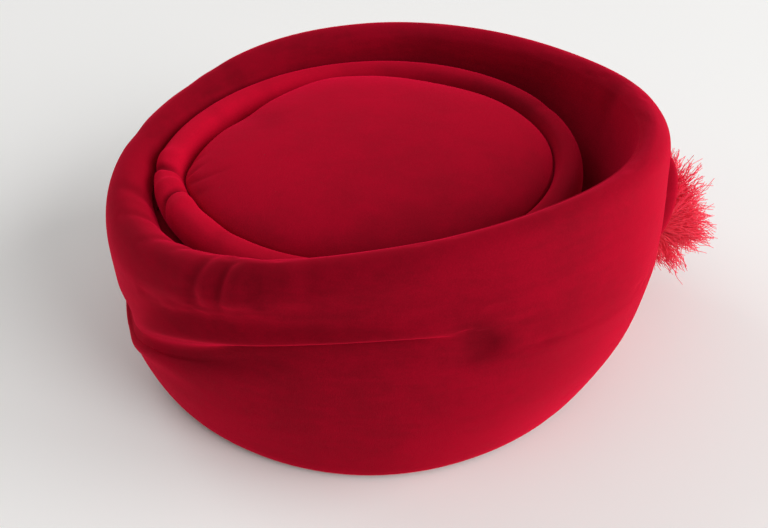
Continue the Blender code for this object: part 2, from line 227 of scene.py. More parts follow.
# The azimuth, and how far the ring's outer edge, the ring's inner edge and the domed top's edge stand
# out there from their even ovals, in metres.
RING_SECTIONS = (
    RingSection(0, 0.0000, 0.0035, 0.0035),
    RingSection(30, 0.0000, 0.0020, -0.0004),
    RingSection(60, 0.0000, 0.0000, -0.0058),
    RingSection(90, 0.0000, 0.0000, -0.0024),
    RingSection(108, 0.0000, 0.0000, -0.0004),
    RingSection(122, 0.0000, 0.0000, -0.0040),
    RingSection(135, 0.0000, 0.0000, -0.0066),
    RingSection(148, 0.0005, 0.0000, -0.0082),
    RingSection(163, 0.0015, 0.0010, -0.0035),
    RingSection(178, 0.0022, 0.0030, 0.0010),
    RingSection(190, 0.0015, 0.0040, 0.0042),
    RingSection(202, -0.0005, 0.0020, 0.0020),
    RingSection(214, -0.0022, 0.0005, 0.0005),
    RingSection(226, -0.0018, 0.0000, 0.0000),
    RingSection(245, 0.0000, 0.0000, 0.0000),
    RingSection(290, 0.0000, 0.0010, 0.0010),
    RingSection(330, 0.0000, 0.0030, 0.0030),
)

Mark = namedtuple("Mark", "path width depth")
# Creases, with a negative depth, and bulges in the padding: path, width and depth. A path is a line of
# (azimuth, level) places on the piece, where a level counts the points of its section. Width and
# depth are metres.
CUFF_MARKS = (
    Mark(((236.2, 14.6), (235.5, 12.8), (234.2, 10.8)), 0.0032, -0.0011),
    Mark(((238.7, 14.2), (237.9, 11.0)), 0.0036, 0.0005),
    Mark(((242.1, 14.7), (241.5, 13.3), (241.0, 12.1), (240.7, 10.6)), 0.0028, -0.0014),
    Mark(((245.6, 14.4), (244.6, 12.7), (243.8, 10.6)), 0.0046, 0.0008),
    Mark(((247.2, 14.1), (247.0, 11.8)), 0.0026, -0.0004),
    Mark(((249.2, 13.4), (249.9, 11.0)), 0.0030, -0.0006),
    Mark(((255.0, 13.8), (255.0, 11.4)), 0.0050, 0.0005),
    Mark(((259.5, 13.8), (259.5, 11.8)), 0.0040, -0.0004),
    Mark(((205.0, 6.0), (211.0, 5.6), (219.0, 5.1), (232.0, 4.6)), 0.0055, 0.0020),
    Mark(((218.0, 6.1), (231.0, 5.6), (241.0, 5.5), (254.0, 5.8)), 0.0060, -0.0013),
    Mark(((286.6, 8.6), (288.7, 6.9), (289.6, 5.8)), 0.0080, -0.0026),
    Mark(((165.0, 12.0), (169.0, 13.8)), 0.0080, -0.0007),
    Mark(((143.0, 13.6), (147.0, 11.8)), 0.0080, -0.0007),
    Mark(((133.0, 15.0), (137.0, 13.0)), 0.0070, -0.0005),
    Mark(((198.0, 15.6), (191.0, 13.8)), 0.0044, -0.0007),
    Mark(((209.0, 15.6), (203.5, 13.8)), 0.0032, -0.0006),
    Mark(((222.0, 15.6), (216.5, 13.8)), 0.0036, -0.0007),
    Mark(((229.0, 15.5), (226.0, 14.0)), 0.0026, -0.0006),
    Mark(((131.0, 16.2), (137.0, 15.2)), 0.0060, -0.0006),
    Mark(((8.0, 17.0), (6.0, 15.6), (8.0, 14.6)), 0.0070, -0.0007),
)
RING_MARKS = (
    Mark(((181.0, 1.6), (182.6, 3.0), (186.2, 4.5), (189.6, 6.4)), 0.0022, -0.0022),
    Mark(((176.0, 2.5), (178.5, 4.5), (181.5, 6.0)), 0.0050, 0.0011),
    Mark(((193.0, 2.4), (194.0, 4.5), (195.8, 6.0)), 0.0036, 0.0013),
    Mark(((203.5, 1.8), (200.5, 3.2), (199.0, 4.5), (197.8, 6.4)), 0.0020, -0.0026),
    Mark(((207.5, 2.6), (206.0, 4.4), (203.0, 5.8)), 0.0044, 0.0014),
    Mark(((218.0, 2.8), (216.0, 5.0)), 0.0070, 0.0008),
    Mark(((150.0, 4.0), (153.0, 6.4)), 0.0044, -0.0003),
    Mark(((128.0, 4.0), (130.0, 6.6)), 0.0050, -0.0003),
    Mark(((228.0, 3.0), (226.0, 5.6)), 0.0050, -0.0006),
    Mark(((20.0, 3.0), (22.0, 6.0)), 0.0060, -0.0006),
)
TIP_MARKS = (
    Mark(((193.0, 5.3), (196.0, 4.4), (198.0, 3.3)), 0.0018, -0.0006),
    Mark(((190.0, 5.3), (190.0, 4.5), (188.0, 3.8)), 0.0016, -0.0006),
    Mark(((191.6, 5.0), (193.0, 4.0)), 0.0018, 0.0004),
    Mark(((183.0, 5.2), (181.0, 4.0)), 0.0028, -0.0004),
    Mark(((200.0, 5.2), (204.0, 4.2)), 0.0028, -0.0004),
    Mark(((150.0, 5.2), (156.0, 3.0), (170.0, 2.4)), 0.0100, -0.0006),
)

# How many places along a mark are used, and how many degrees from it the surface still moves
MARK_SAMPLES = 64
MARK_REACH = 26.0

# The depth of a crease that takes the full painted shade, and how much that painted shade darkens it
CREASE_SHADE_DEPTH = 0.0018
CREASE_SHADE_SHARE = 0.65

# Painted light and shade: how light each piece's velvet is painted, and how that changes for each metre
# along X, Y and Z
BAND_PAINTED_LIGHT, BAND_LIGHT_SLOPE = 0.30, (0.0, 0.0, 0.0)
RING_PAINTED_LIGHT, RING_LIGHT_SLOPE = 0.41, (-4.0, 0.0, 0.0)
TOP_PAINTED_LIGHT, TOP_LIGHT_SLOPE = 0.35, (-1.8, 0.6, 0.0)
CUFF_PAINTED_LIGHT, CUFF_LIGHT_SLOPE = 0.27, (0.9, 0.0, 0.0)
TAB_PAINTED_LIGHT, TAB_LIGHT_SLOPE = 0.50, (0.0, 0.0, 0.0)

# Velvet's patterns: noise scales, and how strongly each one shows
PATCH_SCALE = 26.0
BRUSH_SCALE = (60.0, 60.0, 260.0)
BRUSH_TURN = (0.4, 0.3, 0.5)
CRUSH_SCALE = 190.0
PILE_SCALE = 1500.0
NAP_SHADE = 0.16
SPECKLE = (0.11, 0.001, 0.005)
SPECKLE_SHADE = 0.12
# Painted sheen on the velvet's grazing edges: how fast it grows towards them and how strongly it shows
PAINTED_SHEEN_POWER = 1.8
PAINTED_SHEEN_SHARE = 0.72

# Silk's streaks, and how far from the root its painted shade starts and ends fading, in metres
STREAK_SCALE = 420.0
SILK_ROOT_SHADE_FULL = 0.004
SILK_ROOT_SHADE_END = 0.030

# The floor's faint clouds, and its colour in them as a share of its own
CLOUD_SCALE = 3.0
FLOOR_SHADE = 0.985

# Cloth settling of the cuff
SETTLE_FRAMES = 20
SETTLE_QUALITY = 6
SETTLE_STIFFNESS = 0.2
SETTLE_PRESSURE = 4.0
SETTLE_CAP = 0.0005
SETTLE_FADE = 5
SETTLE_GROWTH = 0.015
SETTLE_SPACING = 4
SETTLE_WAVES = 7


class HatSizes(PropertyGroup):
    """Sizes of the cloth's folds and of the tuft."""

    fold_depth: FloatProperty(
        name="Fold depth",
        description="How far the cloth goes in at the deepest part of the long fold",
        default=0.0060,
        unit="LENGTH",
    )
    thread_radius: FloatProperty(
        name="Thread radius",
        description="Half the thickness of one silk thread",
        default=0.00026,
        unit="LENGTH",
    )
    tuft_reach: FloatProperty(
        name="Tuft reach",
        description="Length of the longest silk threads",
        default=0.0440,
        unit="LENGTH",
    )
    clumps: IntProperty(name="Clumps", description="Number of clumps in the tuft", default=66, min=2)
    clump_threads: IntProperty(
        name="Threads in a clump", description="Number of threads in each clump", default=44, min=1
    )


class HatColours(PropertyGroup):
    """Colours of the velvet, the silk and the floor."""

    # The light end of the velvet's random tone and of its painted light
    velvet_light: FloatVectorProperty(
        name="Velvet, brushed up", description="Velvet where the pile is brushed up",
        subtype="COLOR", default=(0.55, 0.0022, 0.024), min=0.0, max=1.0,
    )
    # The dark end of the velvet's random tone, and of its painted shade on pieces, sides and creases
    velvet_deep: FloatVectorProperty(
        name="Velvet, brushed down", description="Velvet where the pile lies down",
        subtype="COLOR", default=(0.11, 0.0007, 0.005), min=0.0, max=1.0,
    )
    # The colour of the painted sheen on the velvet's grazing edges
    velvet_painted_sheen: FloatVectorProperty(
        name="Velvet, seen from its side", description="Velvet where the pile is seen from its side",
        subtype="COLOR", default=(0.70, 0.0026, 0.029), min=0.0, max=1.0,
    )
    silk_light: FloatVectorProperty(
        name="Silk, tips", description="Silk threads towards their tips",
        subtype="COLOR", default=(1.0, 0.024, 0.078), min=0.0, max=1.0,
    )
    # Silk at the roots, darker by painted shade
    silk_root_shade: FloatVectorProperty(
        name="Silk, roots", description="Silk threads towards their roots",
        subtype="COLOR", default=(0.80, 0.012, 0.040), min=0.0, max=1.0,
    )
    floor: FloatVectorProperty(
        name="Floor", description="The pale floor",
        subtype="COLOR", default=(0.95, 0.95, 0.945), min=0.0, max=1.0,
    )


# Shapes

def smooth_rows(rows, column, azimuth):
    """A column of a table at any azimuths: a cubic through its rows that closes round the hat.

    Each stretch is a Hermite cubic whose end slopes are the slopes across the rows beside it.
    """
    place = np.array([row.azimuth for row in rows], float)
    value = np.array([getattr(row, column) for row in rows], float)
    place = np.concatenate([place[-2:] - 360.0, place, place[:2] + 360.0])
    value = np.concatenate([value[-2:], value, value[:2]])
    slope = np.gradient(value, place)
    azimuth = np.mod(azimuth, 360.0)
    row = np.clip(np.searchsorted(place, azimuth, side="right") - 1, 0, len(place) - 2)
    span = place[row + 1] - place[row]
    t = (azimuth - place[row]) / span
    rise = value[row + 1] - value[row]
    start = slope[row] * span
    end = slope[row + 1] * span
    return value[row] + t * start + t**2 * (3 * rise - 2 * start - end) + t**3 * (start + end - 2 * rise)


def smooth_line(points, steps, closed=False):
    """Catmull-Rom curves through arrays of points, with its own number of steps for each stretch."""
    if closed:
        points = [points[-1], *points, points[0], points[1]]
    else:
        points = [points[0] * 2 - points[1], *points, points[-1] * 2 - points[-2]]
    line = []
    for index, count in enumerate(steps):
        before, start, end, after = points[index : index + 4]
        t = (np.arange(count) / count).reshape(-1, *[1] * start.ndim)
        bend = start * 2 + (end - before) * t + (before * 2 - start * 5 + end * 4 - after) * t**2
        line.append((bend + (start * 3 - before - end * 3 + after) * t**3) / 2)
    if not closed:
        line.append(points[-2][None])
    return np.concatenate(line)


def even_azimuths(count):
    return np.arange(count) / count * 360.0


def on_oval(azimuth, section):
    """Points in the frame from azimuths and (reach, height) pairs: a turn round the oval axis."""
    angle = np.radians(azimuth)
    x = AXIS.x + section[..., 0] * np.cos(angle)
    y = AXIS.y + section[..., 0] * np.sin(angle) * OVAL_STRETCH
    return np.stack([x, y, section[..., 1]], axis=-1)


def pairs(*columns):
    """(reach, height) arrays from one or more numbers or arrays of each."""
    return np.stack(np.broadcast_arrays(*columns), axis=-1).astype(float)


def unit(vectors):
    return vectors / np.maximum(np.linalg.norm(vectors, axis=-1, keepdims=True), 1e-12)


def grid_normals(points, closed_rows):
    """Outward unit normals of a grid whose columns close: the cross product of its two slopes.

    They are turned over where that is needed for the one at the highest point to look up.
    """
    around = np.roll(points, -1, axis=1) - np.roll(points, 1, axis=1)
    if closed_rows:
        along = np.roll(points, -1, axis=0) - np.roll(points, 1, axis=0)
    else:
        along = np.gradient(points, axis=0)
    normal = unit(np.cross(around, along))
    highest = np.argmax(points[..., 2])
    return normal * np.sign(normal[..., 2].ravel()[highest])


def grid_faces(rows, columns, closed_rows):
    """Quads of a grid whose columns close, and whose rows close too where closed_rows is set."""
    row = np.arange(rows if closed_rows else rows - 1)[:, None]
    column = np.arange(columns)[None, :]
    above = (row + 1) % rows
    beside = (column + 1) % columns
    corners = [row * columns + column, row * columns + beside, above * columns + beside]
    corners.append(above * columns + column)
    return np.stack(np.broadcast_arrays(*corners), axis=-1).reshape(-1, 4)


def mesh_piece(name, points, quads, triangles=None):
    """A smooth mesh object in the frame's own place, from arrays of points and faces."""
    triangles = np.zeros((0, 3), int) if triangles is None else triangles
    mesh = bpy.data.meshes.new(name)
    mesh.vertices.add(len(points))
    mesh.vertices.foreach_set("co", points.astype(np.float32).ravel())
    corners = np.concatenate([quads.ravel(), triangles.ravel()])
    sizes = np.concatenate([np.full(len(quads), 4), np.full(len(triangles), 3)])
    mesh.loops.add(len(corners))
    mesh.loops.foreach_set("vertex_index", corners.astype(np.int32))
    mesh.polygons.add(len(sizes))
    mesh.polygons.foreach_set("loop_start", (np.cumsum(sizes) - sizes).astype(np.int32))
    mesh.update(calc_edges=True)
    mesh.shade_smooth()
    mesh.validate()
    piece = bpy.data.objects.new(name, mesh)
    bpy.context.scene.collection.objects.link(piece)
    return piece


def closed_piece(name, points):
    """A smooth mesh object from a grid of points that closes both ways."""
    rows, columns = points.shape[:2]
    return mesh_piece(name, points.reshape(-1, 3), grid_faces(rows, columns, True))


def dress(piece, node, finish):
    """Puts a finished piece in the place of its node, riding on the hat, with its material."""
    piece.data.materials.append(finish)
    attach(piece, "root")
    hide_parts(node)
    return piece


def cuff_section(azimuth, sizes):
    """The cuff's closed sections at an array of azimuths, as (reach, height) pairs.

    The outer face leans from the hem to the roll as a power of a sine, with a half-sine bulge.
    At the long fold it goes in behind the lip, turns, and comes out round the lip.
    """
    well, roll, rise, hem, bulge = (
        smooth_rows(CUFF_SECTIONS, column, azimuth) for column in CuffSection._fields[1:]
    )
    foot = BAND_REACH + SEAM_GAP
    hem = foot + hem * HEM_WIDTH
    ring_room = np.maximum(smooth_rows(RING_SECTIONS, "outer", azimuth), 0.0)
    ring_side = RING_REACH + ring_room + SEAM_GAP
    well = np.maximum(well, 0.0)
    inner = ring_side + well * WELL_WIDTH
    seat = RING_FLOOR - SEAM_GAP
    well_bottom = seat - (seat - WELL_FLOOR) * np.minimum(well / DEEP_WELL, 1.0)
    roll = roll * ROLL_THICKNESS - ring_room
    outer = inner + roll
    top = CROWN_HEIGHT + rise * RIM_RISE
    fold = smooth_rows(FOLD_SECTIONS, "height", azimuth)
    ledge = smooth_rows(FOLD_SECTIONS, "ledge", azimuth)
    lip, hollow, tuck = (
        smooth_rows(FOLD_SECTIONS, column, azimuth) * sizes.fold_depth
        for column in ("lip", "hollow", "tuck")
    )
    sharp = np.clip(smooth_rows(FOLD_SECTIONS, "sharp", azimuth), 0.0, 1.0)
    soft = 1.0 - sharp
    undercut = np.clip((lip + tuck) / sizes.fold_depth, 0.0, 1.0) * sharp
    flap = top - fold

    def wall(height, proud=0.0):
        share = np.clip(height / (top - roll / 2), 0.0, 1.0)
        lean = (outer - hem) * np.sin(share * math.pi / 2) ** LEAN_POWER
        return pairs(hem + lean + bulge * WALL_BULGE * np.sin(share * math.pi) + proud, height)

    points = [
        pairs(foot, 0.0 * hem),
        pairs(hem - HEM_ROUND, 0.0),
        pairs(hem - HEM_ROUND * 0.2, HEM_ROUND * 0.25),
        wall(HEM_ROUND + 0.0 * hem),
        wall(fold * 0.4),
        wall(fold * 0.75, -tuck * 0.10),
        wall(fold - FOLD_FOOT - soft * FOLD_FOOT, -tuck * 0.60),
        wall(fold - CREASE_DROP + undercut * CREASE_LIFT - soft * SOFT_CREASE_DROP, -tuck),
        wall(fold - undercut * LIP_HANG - soft * SOFT_LIP_DROP, lip * 0.6 - tuck * 0.3),
        wall(fold + LIP_ROUND + soft * SOFT_LIP_ROUND, lip),
        wall(fold + LIP_ROUND + ledge, -hollow),
        wall(fold + flap * 0.45, -hollow * 0.60),
        pairs(outer, top - roll * 0.55),
        pairs(outer - roll * 0.17, top - roll * 0.15),
        pairs(outer - roll * 0.5, top),
        pairs(inner + roll * 0.15, top - roll * 0.17),
        pairs(inner, top - roll * 0.55),
        pairs(ring_side + (inner - ring_side) * 0.7, RING_FLOOR),
        pairs(foot, well_bottom),
    ]
    section = smooth_line(points, CUFF_STEPS, closed=True)
    section[..., 1] = np.maximum(section[..., 1], 0.0)
    clear = section[..., 1] >= RING_FLOOR
    section[..., 0] = np.where(clear, np.maximum(section[..., 0], ring_side), section[..., 0])
    section[..., 0] = np.maximum(section[..., 0], foot)
    return section


def between_points(points, row, column):
    """Points of a grid at fractional rows and columns, as weighted means of the four around each."""
    rows, columns = points.shape[:2]
    low_row, low_column = np.floor(row).astype(int), np.floor(column).astype(int)
    row_share, column_share = (row - low_row)[:, None], (column - low_column)[:, None]
    high_row, high_column = np.minimum(low_row + 1, rows - 1), (low_column + 1) % columns
    low_column = low_column % columns
    near = points[low_row, low_column] * (1 - column_share) + points[low_row, high_column] * column_share
    far = points[high_row, low_column] * (1 - column_share) + points[high_row, high_column] * column_share
    return near * (1 - row_share) + far * row_share


def pressed(points, azimuth, steps, marks, closed_rows):
    """A grid moved along its normals by creases and bulges.

    Each mark is a line on the surface. A point moves by the mark's depth times a bell curve of its
    distance from the line, and the line's own strength fades to its ends as a half sine. The
    distances that the points move are given back too.
    """
    starts = np.concatenate([[0], np.cumsum(steps)])
    rows, columns = points.shape[:2]
    normals = grid_normals(points, closed_rows)
    moved = np.zeros((rows, columns))
    for mark in marks:
        places = np.array(mark.path)
        share = np.linspace(0.0, 1.0, MARK_SAMPLES)
        stops = np.linspace(0.0, 1.0, len(places))
        column = np.interp(share, stops, places[:, 0]) / 360.0 * columns
        row = np.interp(np.interp(share, stops, places[:, 1]), np.arange(len(starts)), starts)
        line = between_points(points, row, column)
        apart = np.abs((azimuth[:, None] - places[None, :, 0] + 180.0) % 360.0 - 180.0).min(axis=1)
        near = np.nonzero(apart < MARK_REACH)[0]
        away = np.linalg.norm(points[:, near, None] - line, axis=-1)
        strength = np.sin(share * math.pi)
        moved[:, near] += mark.depth * (strength * np.exp(-((away / mark.width) ** 2))).max(axis=-1)
    return points + normals * moved[..., None], moved


def keep_crease_shade(piece, moved):
    """Keeps how far each point is pressed in, from 0 to 1, on the mesh, for the velvet's painted shade in
    creases.
    """
    hollow = np.clip(-moved.ravel() / CREASE_SHADE_DEPTH, 0.0, 1.0)
    kept = piece.data.attributes.new("hollow", "FLOAT", "POINT")
    values = np.zeros(len(kept.data), np.float32)
    values[: len(hollow)] = hollow
    kept.data.foreach_set("value", values)


def settled(points, pinned, closed_rows):
    """How far each point of a padded grid moves when it settles as cloth round its filling.

    Every few rows and columns of the grid become a cloth, a little too large for its form, that the
    filling presses outwards. Its pinned rows stay. Of the movement along the normals, the first
    waves round the hat are taken away, so that the piece keeps its size, and the rest fades out
    towards the pinned rows and is spread over the grid.
    """
    rows, columns = points.shape[:2]
    row_at = np.unique(np.concatenate([np.arange(0, rows, SETTLE_SPACING), [rows - 1]]))
    column_at = np.arange(0, columns, SETTLE_SPACING)
    start = points[row_at][:, column_at]
    cloth = mesh_piece(
        "settling", start.reshape(-1, 3), grid_faces(len(row_at), len(column_at), closed_rows)
    )
    group = cloth.vertex_groups.new(name="pinned")
    weight = pinned[row_at][:, column_at].ravel()
    group.add(np.nonzero(weight > 0.5)[0].tolist(), 1.0, "REPLACE")
    cloth_modifier = cloth.modifiers.new("cloth", "CLOTH")
    settings = cloth_modifier.settings
    settings.quality = SETTLE_QUALITY
    settings.vertex_group_mass = "pinned"
    settings.use_pressure = True
    settings.uniform_pressure_force = SETTLE_PRESSURE
    settings.shrink_min = -SETTLE_GROWTH
    settings.effector_weights.gravity = 0.0
    settings.bending_stiffness = SETTLE_STIFFNESS
    scene = bpy.context.scene
    for moment in range(1, SETTLE_FRAMES + 1):
        scene.frame_set(moment)
    shape = cloth.evaluated_get(bpy.context.evaluated_depsgraph_get()).data
    end = np.empty(len(shape.vertices) * 3, np.float32)
    shape.vertices.foreach_get("co", end)
    scene.frame_set(1)
    bpy.data.objects.remove(cloth)
    normals = grid_normals(start, closed_rows)
    waves = np.fft.rfft(((end.reshape(start.shape) - start) * normals).sum(axis=-1), axis=1)
    waves[:, :SETTLE_WAVES] = 0.0
    move = np.clip(np.fft.irfft(waves, n=len(column_at), axis=1), -SETTLE_CAP, SETTLE_CAP)
    free = 1.0 - pinned[row_at][:, column_at]
    for _ in range(SETTLE_FADE):
        beside = np.minimum(np.roll(free, 1, axis=0), np.roll(free, -1, axis=0))
        free = np.minimum(free, (free + beside + np.roll(free, 1, axis=1) + np.roll(free, -1, axis=1)) / 4)
    move *= free
    row = np.interp(np.arange(rows), row_at, np.arange(len(row_at)))
    column = np.arange(columns) / SETTLE_SPACING
    spread = between_points(normals * move[..., None], np.repeat(row, columns), np.tile(column, rows))
    return spread.reshape(points.shape)


def wall_frame(azimuth, height, sizes):
    """Where the cuff's outer face is, and its outward, climbing and sideways unit vectors there."""

    def face(at, level):
        section = cuff_section(np.array([at]), sizes)[:, 0]
        crest = int(np.argmax(section[:, 1]))
        reach = np.interp(level, section[HEM_ROWS:crest, 1], section[HEM_ROWS:crest, 0])
        return Vector(on_oval(at, np.array([reach, level])))

    here = face(azimuth, height)
    climb = (face(azimuth, height + FACE_STEP) - face(azimuth, height - FACE_STEP)).normalized()
    side = face(azimuth + 1.0, height) - face(azimuth - 1.0, height)
    out = side.cross(climb).normalized()
    return here, out, climb, climb.cross(out).normalized()


def cuff_pins(azimuth):
    """1 where the cuff is sewn down: its foot, its hem, the long fold's crease and the well's seam."""
    starts = np.concatenate([[0], np.cumsum(CUFF_STEPS)])
    pinned = np.zeros((starts[-1], len(azimuth)))
    pinned[: starts[HEM_LAST]] = 1.0
    creased = smooth_rows(FOLD_SECTIONS, "tuck", azimuth) > SEWN_TUCK
    pinned[starts[FOLD_FIRST] : starts[FOLD_LAST]] = creased
    pinned[starts[WELL_FIRST] :] = 1.0
    return pinned


class HAT_OT_cuff(Operator):
    """Make the padded velvet cuff with its long fold and its gathers."""

    bl_idname = "hat.make_cuff"
    bl_label = "Make Cuff"

    def execute(self, context):
        azimuth = even_azimuths(CUFF_SIDES)
        points = on_oval(azimuth, cuff_section(azimuth, context.scene.hat_sizes))
        points, moved = pressed(points, azimuth, CUFF_STEPS, CUFF_MARKS, True)
        points = points + settled(points, cuff_pins(azimuth), True)
        piece = closed_piece("velvet_cuff", points)
        keep_crease_shade(piece, moved)
        finish = velvet_finish("cuff_velvet", context.scene.hat_colours, CUFF_PAINTED_LIGHT, CUFF_LIGHT_SLOPE)
        dress(piece, "cuff", finish)
        return {"FINISHED"}


def ring_section(azimuth):
    """The padded ring's closed section: flat where it sits on the band, and round above."""
    outer = RING_REACH + smooth_rows(RING_SECTIONS, "outer", azimuth)
    inner = RING_REACH - RING_WIDTH + smooth_rows(RING_SECTIONS, "inner", azimuth)
    width = outer - inner
    points = [
        (inner + width * 0.25, 0.0),
        (inner + width * 0.05, 0.2),
        (inner, 0.5),
        (inner + width * 0.1, 0.83),
        (inner + width * 0.32, 1.0),
        (outer - width * 0.32, 1.0),
        (outer - width * 0.08, 0.8),
        (outer, 0.5),
        (outer - width * 0.06, 0.18),
        (outer - width * 0.25, 0.0),
    ]
    loop = [pairs(reach, RING_FLOOR + share * RING_THICKNESS) for reach, share in points]
    section = smooth_line(loop[::-1], RING_STEPS, closed=True)
    section[..., 1] = np.maximum(section[..., 1], RING_FLOOR)
    return section


class HAT_OT_ring(Operator):
    """Make the padded velvet ring round the domed top."""

    bl_idname = "hat.make_ring"
    bl_label = "Make Ring"

    def execute(self, context):
        azimuth = even_azimuths(RING_SIDES)
        points = on_oval(azimuth, ring_section(azimuth))
        points, moved = pressed(points, azimuth, RING_STEPS, RING_MARKS, True)
        piece = closed_piece("velvet_ring", points)
        keep_crease_shade(piece, moved)
        finish = velvet_finish("ring_velvet", context.scene.hat_colours, RING_PAINTED_LIGHT, RING_LIGHT_SLOPE)
        dress(piece, "crown_ring", finish)
        return {"FINISHED"}


def tip_section(azimuth):
    """The domed top's line from near its middle to the edge that tucks down inside the ring."""
    edge = RING_REACH - RING_WIDTH - SEAM_GAP
    peak = CROWN_HEIGHT + TIP_RISE
    level = 0.0 * azimuth
    points = [
        (edge * 0.02, peak + TIP_POLE_RISE),
        (edge * 0.12, peak),
        (edge * 0.4, peak - TIP_RISE * 0.1),
        (edge * 0.7, peak - TIP_RISE * 0.35),
        (edge - TIP_EDGE_RADIUS * 0.6, peak - TIP_RISE * 0.8),
        (edge - TIP_EDGE_RADIUS * 0.1, peak - TIP_RISE * 1.35),
        (edge, CROWN_HEIGHT - TIP_TUCK * 0.6),
        (edge, CROWN_HEIGHT - TIP_TUCK),
    ]
    line = [pairs(reach + level, height) for reach, height in points]
    section = smooth_line(line, TIP_STEPS)
    shift = smooth_rows(RING_SECTIONS, "tip", azimuth)
    tuck_shift = smooth_rows(RING_SECTIONS, "inner", azimuth)
    tuck_top = CROWN_HEIGHT - TIP_TUCK * 0.3
    tucked = np.clip((tuck_top - section[..., 1]) / (TIP_TUCK * 0.7), 0.0, 1.0)
    share = (section[..., 0] / edge) ** 2
    section[..., 0] += share * (shift * (1.0 - tucked) + tuck_shift * tucked)
    return section


class HAT_OT_tip(Operator):
    """Make the domed velvet top inside the ring."""

    bl_idname = "hat.make_tip"
    bl_label = "Make Domed Top"

    def execute(self, context):
        azimuth = even_azimuths(TIP_SIDES)
        points = on_oval(azimuth, tip_section(azimuth))
        points, moved = pressed(points, azimuth, TIP_STEPS, TIP_MARKS, False)
        rows, columns = points.shape[:2]
        faces = grid_faces(rows, columns, False)[:, ::-1]
        pole = np.array([[AXIS.x, AXIS.y, points[0, :, 2].mean()]])
        column = np.arange(columns)
        cap = np.stack([np.full(columns, rows * columns), column, (column + 1) % columns], axis=-1)
        everything = np.concatenate([points.reshape(-1, 3), pole])
        piece = mesh_piece("velvet_top", everything, faces, cap)
        keep_crease_shade(piece, moved)
        wall = piece.modifiers.new("wall", "SOLIDIFY")
        wall.thickness = TIP_WALL
        wall.offset = -1.0
        finish = velvet_finish("top_velvet", context.scene.hat_colours, TOP_PAINTED_LIGHT, TOP_LIGHT_SLOPE)
        dress(piece, "crown_tip", finish)
        return {"FINISHED"}


class HAT_OT_band(Operator):
    """Make the upright velvet band round the head opening."""

    bl_idname = "hat.make_band"
    bl_label = "Make Band"

    def execute(self, context):
        azimuth = even_azimuths(BAND_SIDES)
        level = 0.0 * azimuth
        inner = BAND_REACH - BAND_THICKNESS
        corners = [
            (BAND_REACH, BAND_ROUND),
            (BAND_REACH, BAND_TOP - BAND_ROUND),
            (BAND_REACH - BAND_ROUND, BAND_TOP),
            (inner + BAND_ROUND, BAND_TOP),
            (inner, BAND_TOP - BAND_ROUND),
            (inner, BAND_ROUND),
            (inner + BAND_ROUND, 0.0),
            (BAND_REACH - BAND_ROUND, 0.0),
        ]
        stretches = []
        for start, end in zip(corners, corners[1:] + corners[:1]):
            upright = abs(start[1] - end[1]) > BAND_ROUND * 2
            count = BAND_WALL_ROWS if upright else BAND_ROUND_ROWS
            share = np.arange(count)[:, None, None] / count
            start, end = (pairs(reach + level, height) for reach, height in (start, end))
            stretches.append(start + (end - start) * share)
        points = on_oval(azimuth, np.concatenate(stretches))
        piece = closed_piece("velvet_band", points)
        finish = velvet_finish("band_velvet", context.scene.hat_colours, BAND_PAINTED_LIGHT, BAND_LIGHT_SLOPE)
        dress(piece, "side_band", finish)
        return {"FINISHED"}


class HAT_OT_tab(Operator):
    """Make the stitched-down leaf of velvet that hides the tuft's root."""

    bl_idname = "hat.make_tab"
    bl_label = "Make Tab"

    def execute(self, context):
        sizes = context.scene.hat_sizes
        share = (np.arange(TAB_ROWS) + 0.5) / TAB_ROWS
        fullness = np.sin(share * math.pi) ** 0.5
        frames = [wall_frame(TAB_AZIMUTH, h, sizes) for h in TAB_HEIGHT + TAB_LENGTH * (share - 0.5)]
        here, out, _, side = (np.array([list(f[part]) for f in frames]) for part in range(4))
        angle = np.arange(TAB_SIDES) / TAB_SIDES * 2 * math.pi
        stand = TAB_STAND / 2 * fullness[:, None, None]
        centre = here[:, None] + out[:, None] * (stand + SEAM_GAP)
        reach = out[:, None] * stand * np.cos(angle)[None, :, None]
        across = side[:, None] * TAB_THICKNESS / 2 * fullness[:, None, None]
        points = centre + reach + across * np.sin(angle)[None, :, None]
        ends = points[[0, -1]].mean(axis=1)
        faces = grid_faces(TAB_ROWS, TAB_SIDES, False)
        first = TAB_ROWS * TAB_SIDES
        column = np.arange(TAB_SIDES)
        beside = (column + 1) % TAB_SIDES
        low = np.stack([np.full(TAB_SIDES, first), beside, column], axis=-1)
        last_row = first - TAB_SIDES
        high = np.stack([np.full(TAB_SIDES, first + 1), last_row + column, last_row + beside], axis=-1)
        everything = np.concatenate([points.reshape(-1, 3), ends])
        piece = mesh_piece("velvet_tab", everything, faces, np.concatenate([low, high]))
        finish = velvet_finish("tab_velvet", context.scene.hat_colours, TAB_PAINTED_LIGHT, TAB_LIGHT_SLOPE)
        dress(piece, "tuft_tab", finish)
        return {"FINISHED"}


def tubes(paths, radius):
    """Three-sided tubes along paths: three points round each path point, at right angles to it."""
    tangent = unit(np.gradient(paths, axis=1))
    across = unit(np.cross(tangent, TUBE_LEAN))
    upright = np.cross(tangent, across)
    angle = np.arange(3) / 3 * 2 * math.pi
    rim = across[:, :, None] * np.cos(angle)[:, None] + upright[:, :, None] * np.sin(angle)[:, None]
    points = paths[:, :, None] + rim * radius[None, :, None, None]
    count, length = paths.shape[:2]
    faces = grid_faces(length, 3, False)
    first = (np.arange(count) * length * 3)[:, None, None]
    quads = (faces[None] + first).reshape(-1, 4)
    caps = np.array([[2, 1, 0], [length * 3 - 3, length * 3 - 2, length * 3 - 1]])
    return points.reshape(-1, 3), quads, (caps[None] + first).reshape(-1, 3)


